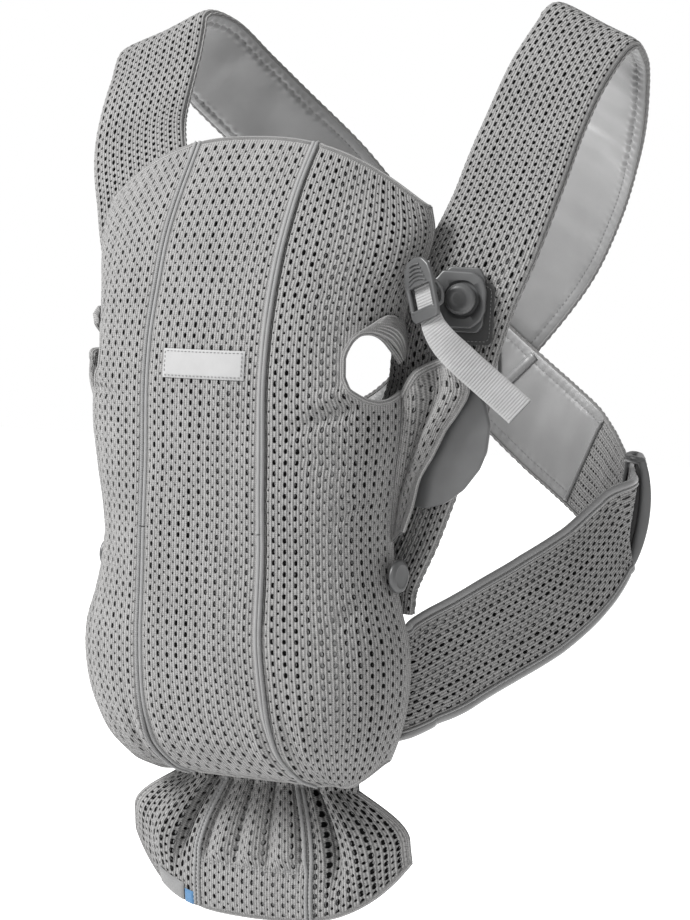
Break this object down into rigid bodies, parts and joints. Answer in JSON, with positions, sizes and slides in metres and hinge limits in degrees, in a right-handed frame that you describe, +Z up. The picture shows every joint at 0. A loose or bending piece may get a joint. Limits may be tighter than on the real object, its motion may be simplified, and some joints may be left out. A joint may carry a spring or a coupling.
{
  "type": "baby carrier",
  "caption": "Soft front baby carrier in spacer mesh: fold-down front panel and head support, padded straps that cross at the back, waist bands with buckles, gathered hem flap.",
  "frame": {"origin": "on the wearer's middle line, at the height of the seat crease, in the plane of the front panel's side edges", "axes": "+X towards the wearer's left side, which is the viewer's right from the front; -Y out of the front panel, away from the wearer; +Z up"},
  "size_m": [0.3894, 0.3469, 0.5721],
  "materials": {
    "mesh": "spacer mesh with open holes",
    "lining": "smooth satin weave",
    "foam": "open foam",
    "plastic": "satin moulded",
    "backing": "coarse non-slip",
    "webbing": "ribbed webbing",
    "tape": "bound seam",
    "label": "woven label, blank",
    "grey_tab": "woven tab, blank",
    "accent_tab": "woven tab, plain"
  },
  "bodies": {
    "harness": {"chest_strap_cover_right": "mesh", "chest_strap_cover_left": "mesh", "chest_strap_lining_right": "lining", "chest_strap_lining_left": "lining", "shoulder_cover_right": "mesh", "shoulder_cover_left": "mesh", "shoulder_pad_right": "foam", "shoulder_pad_left": "foam", "shoulder_lining_right": "lining", "shoulder_lining_left": "lining", "back_band_cover_right": "mesh", "back_band_cover_left": "mesh", "back_band_lining_right": "lining", "back_band_lining_left": "lining", "waist_band_right": "mesh", "waist_band_left": "mesh", "clip_backing_right": "backing", "clip_backing_left": "backing", "clip_base_right": "plastic", "clip_base_left": "plastic", "toggle_base_right": "plastic", "toggle_base_left": "plastic", "seat_seam_right": "tape", "seat_seam_left": "tape", "seat_yoke": "lining", "back_cross_patch": "lining", "seat_panel": "mesh"},
    "front_panel": {"front_panel": "mesh", "front_label": "label", "panel_seam_right": "tape", "panel_seam_left": "tape", "side_wing_right": "mesh", "side_wing_left": "mesh", "leg_button_right": "plastic", "leg_button_left": "plastic"},
    "head_support": {"head_support": "mesh", "head_seam_right": "tape", "head_seam_left": "tape", "head_webbing_right": "webbing", "head_webbing_left": "webbing"},
    "hem_flap": {"hem_flap": "mesh", "care_tab": "grey_tab", "accent_tab": "accent_tab", "flap_seam_right": "tape", "flap_seam_left": "tape"},
    "ladder_lock_right": {"ladder_lock_right": "plastic"},
    "ladder_lock_left": {"ladder_lock_left": "plastic"},
    "clip_plate_right": {"clip_plate_right": "plastic"},
    "clip_plate_left": {"clip_plate_left": "plastic"},
    "head_button_right": {"head_button_right": "plastic"},
    "head_button_left": {"head_button_left": "plastic"},
    "side_toggle_right": {"side_toggle_right": "plastic"},
    "side_toggle_left": {"side_toggle_left": "plastic"},
    "waist_buckle_right": {"waist_buckle_right": "plastic"},
    "waist_buckle_left": {"waist_buckle_left": "plastic"}
  },
  "joints": [
    {"name": "panel_fold_down", "type": "hinge", "parent": "harness", "child": "front_panel", "pos_m": [0, -0.057, 0.0515], "axis": [1, 0, 0], "range_deg": [0, 100]},
    {"name": "head_support_fold", "type": "hinge", "parent": "front_panel", "child": "head_support", "pos_m": [0, -0.051, 0.271], "axis": [1, 0, 0], "range_deg": [0, 150]},
    {"name": "hem_flap_swing", "type": "hinge", "parent": "harness", "child": "hem_flap", "pos_m": [0, 0.019, -0.009], "axis": [1, 0, 0], "range_deg": [-12, 12]},
    {"name": "clip_swivel_right", "type": "hinge", "parent": "harness", "child": "clip_plate_right", "pos_m": [0.14302, 0.01774, 0.29727], "axis": [0.2419, -0.965, 0.1014], "range_deg": [-6, 6]},
    {"name": "head_button_press_right", "type": "slide", "parent": "harness", "child": "head_button_right", "axis": [-0.2419, 0.965, -0.1014], "range_m": [0, 0.001], "stiffness_N_per_m": 400},
    {"name": "clip_swivel_left", "type": "hinge", "parent": "harness", "child": "clip_plate_left", "pos_m": [-0.09444, 0.02623, 0.29774], "axis": [-0.0349, -0.9897, 0.1391], "range_deg": [-6, 6]},
    {"name": "head_button_press_left", "type": "slide", "parent": "harness", "child": "head_button_left", "axis": [0.0349, 0.9897, -0.1391], "range_m": [0, 0.001], "stiffness_N_per_m": 400},
    {"name": "ladder_lock_slide_right", "type": "slide", "parent": "head_support", "child": "ladder_lock_right", "axis": [-0.2904, 0.1057, 0.9511], "range_m": [0, 0.006]},
    {"name": "ladder_lock_slide_left", "type": "slide", "parent": "head_support", "child": "ladder_lock_left", "axis": [0, 0, 1], "range_m": [0, 0.006]},
    {"name": "side_toggle_turn_right", "type": "hinge", "parent": "harness", "child": "side_toggle_right", "pos_m": [0.1295, 0.025, 0.207], "axis": [0.1338, -0.9883, -0.0729], "range_deg": [-10, 10]},
    {"name": "side_toggle_turn_left", "type": "hinge", "parent": "harness", "child": "side_toggle_left", "pos_m": [-0.104, 0.027, 0.207], "axis": [-0.1043, -0.9945, -0.0073], "range_deg": [-10, 10]},
    {"name": "waist_buckle_slide_right", "type": "slide", "parent": "harness", "child": "waist_buckle_right", "axis": [0.4934, -0.866, -0.0806], "range_m": [-0.005, 0.005]},
    {"name": "waist_buckle_slide_left", "type": "slide", "parent": "harness", "child": "waist_buckle_left", "axis": [-0.4934, -0.866, -0.0806], "range_m": [-0.005, 0.005]}
  ]
}
